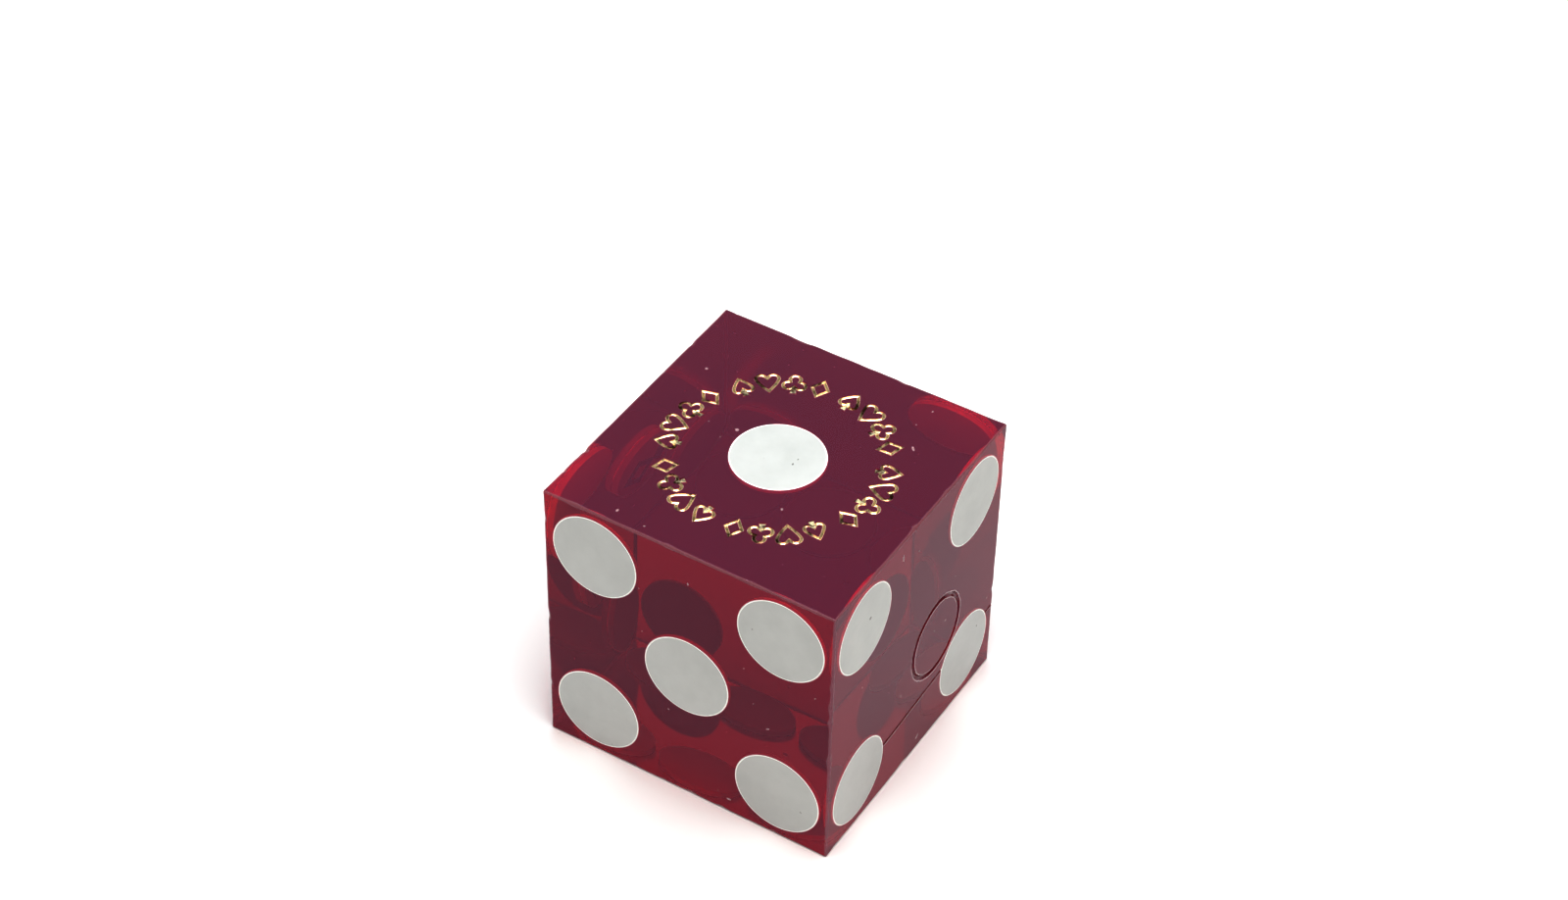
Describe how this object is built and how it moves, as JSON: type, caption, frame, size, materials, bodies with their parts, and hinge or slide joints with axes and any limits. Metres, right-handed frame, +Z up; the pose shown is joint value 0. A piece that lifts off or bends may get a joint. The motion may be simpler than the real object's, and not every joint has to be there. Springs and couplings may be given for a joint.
{
  "type": "casino die",
  "caption": "Translucent red casino die with flush white pips, a ring of foil card suits round the single pip, and a retiring circle and scratch.",
  "frame": {"origin": "middle of the six's face, which the die rests on", "axes": "+Z up through the one, +X out through the two, +Y out through the three"},
  "size_m": [0.019, 0.019, 0.0191],
  "materials": {
    "acetate": "polished, translucent deep red, fine scratches",
    "pip_white": "sanded flush, satin",
    "gold_foil": "hot-stamped foil, broken sparkle",
    "black_ink": "printed ink"
  },
  "bodies": {
    "root": {"body": "acetate", "foil_club_1": "gold_foil", "foil_club_2": "gold_foil", "foil_club_3": "gold_foil", "foil_club_4": "gold_foil", "foil_club_5": "gold_foil", "foil_club_6": "gold_foil", "foil_diamond_1": "gold_foil", "foil_diamond_2": "gold_foil", "foil_diamond_3": "gold_foil", "foil_diamond_4": "gold_foil", "foil_diamond_5": "gold_foil", "foil_diamond_6": "gold_foil", "foil_heart_1": "gold_foil", "foil_heart_2": "gold_foil", "foil_heart_3": "gold_foil", "foil_heart_4": "gold_foil", "foil_heart_5": "gold_foil", "foil_heart_6": "gold_foil", "foil_spade_1": "gold_foil", "foil_spade_2": "gold_foil", "foil_spade_3": "gold_foil", "foil_spade_4": "gold_foil", "foil_spade_5": "gold_foil", "foil_spade_6": "gold_foil", "key_mark": "black_ink", "pip_1_1": "pip_white", "pip_2_1": "pip_white", "pip_2_2": "pip_white", "pip_3_1": "pip_white", "pip_3_2": "pip_white", "pip_3_3": "pip_white", "pip_4_1": "pip_white", "pip_4_2": "pip_white", "pip_4_3": "pip_white", "pip_4_4": "pip_white", "pip_5_1": "pip_white", "pip_5_2": "pip_white", "pip_5_3": "pip_white", "pip_5_4": "pip_white", "pip_5_5": "pip_white", "pip_6_1": "pip_white", "pip_6_2": "pip_white", "pip_6_3": "pip_white", "pip_6_4": "pip_white", "pip_6_5": "pip_white", "pip_6_6": "pip_white"}
  },
  "joints": []
}
